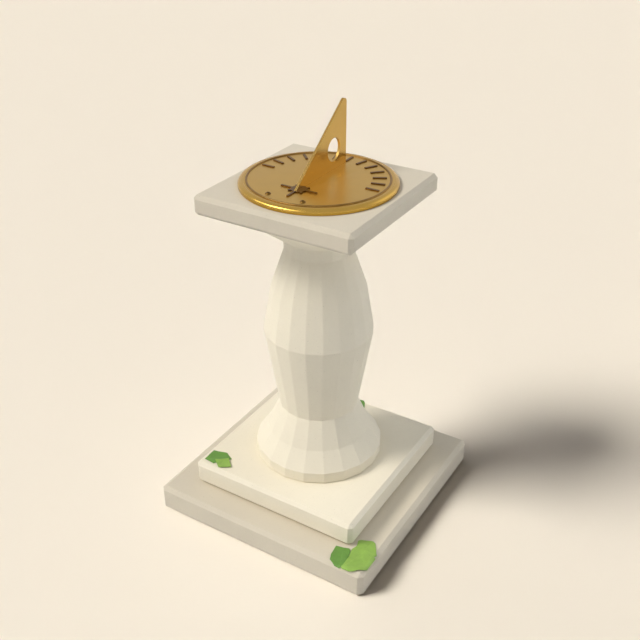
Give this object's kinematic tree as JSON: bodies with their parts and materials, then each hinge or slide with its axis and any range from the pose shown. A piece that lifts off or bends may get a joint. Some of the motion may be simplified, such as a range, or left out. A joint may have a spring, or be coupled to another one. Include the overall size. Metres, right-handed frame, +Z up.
{
  "type": "pedestal sundial",
  "caption": "Horizontal brass sundial with a triangular gnomon, raised hour marks and a compass star, on a faceted stone baluster pedestal with a stepped square plinth.",
  "frame": {"origin": "centre of the plinth's underside, on the ground", "axes": "+Z is up, +Y is the way the gnomon rises (north, behind the dial's noon mark), +X is to its right (east)"},
  "size_m": [0.42, 0.42, 0.7256],
  "materials": {
    "stone": "matte cream cast stone",
    "grey_stone": "matte greyish cast stone, a shade darker",
    "mortar": "matte lime mortar",
    "steel": "plain stainless steel",
    "plug": "grey nylon",
    "brass": "polished, softly reflecting brass",
    "bronze": "dark brown patinated brass",
    "dark_leaf": "matte dark green leaf",
    "light_leaf": "matte light green leaf"
  },
  "bodies": {
    "root": {"plinth_slab": "grey_stone", "step_dowels": "steel", "mortar_bed_step": "mortar", "plinth_step": "stone", "baluster_dowel": "steel", "mortar_bed_baluster": "mortar", "baluster": "stone", "cap_dowels": "steel", "mortar_bed_cap": "mortar", "cap_slab": "grey_stone", "wall_plugs": "plug", "centre_stud": "steel", "dial_plate": "brass", "dial_screws": "bronze", "chapter_ring": "bronze", "compass_star": "bronze", "gnomon": "brass", "gnomon_washers": "steel", "gnomon_screws": "steel", "hour_mark_06": "bronze", "hour_mark_07": "bronze", "hour_mark_08": "bronze", "hour_mark_09": "bronze", "hour_mark_10": "bronze", "hour_mark_11": "bronze", "hour_mark_12": "bronze", "hour_mark_13": "bronze", "hour_mark_14": "bronze", "hour_mark_15": "bronze", "hour_mark_16": "bronze", "hour_mark_17": "bronze", "hour_mark_18": "bronze", "step_leaf_dark": "dark_leaf", "step_leaf_light": "light_leaf", "plinth_leaf_dark": "dark_leaf", "plinth_leaf_light": "light_leaf", "plinth_leaf_upper": "light_leaf", "back_leaf": "dark_leaf"}
  },
  "joints": []
}
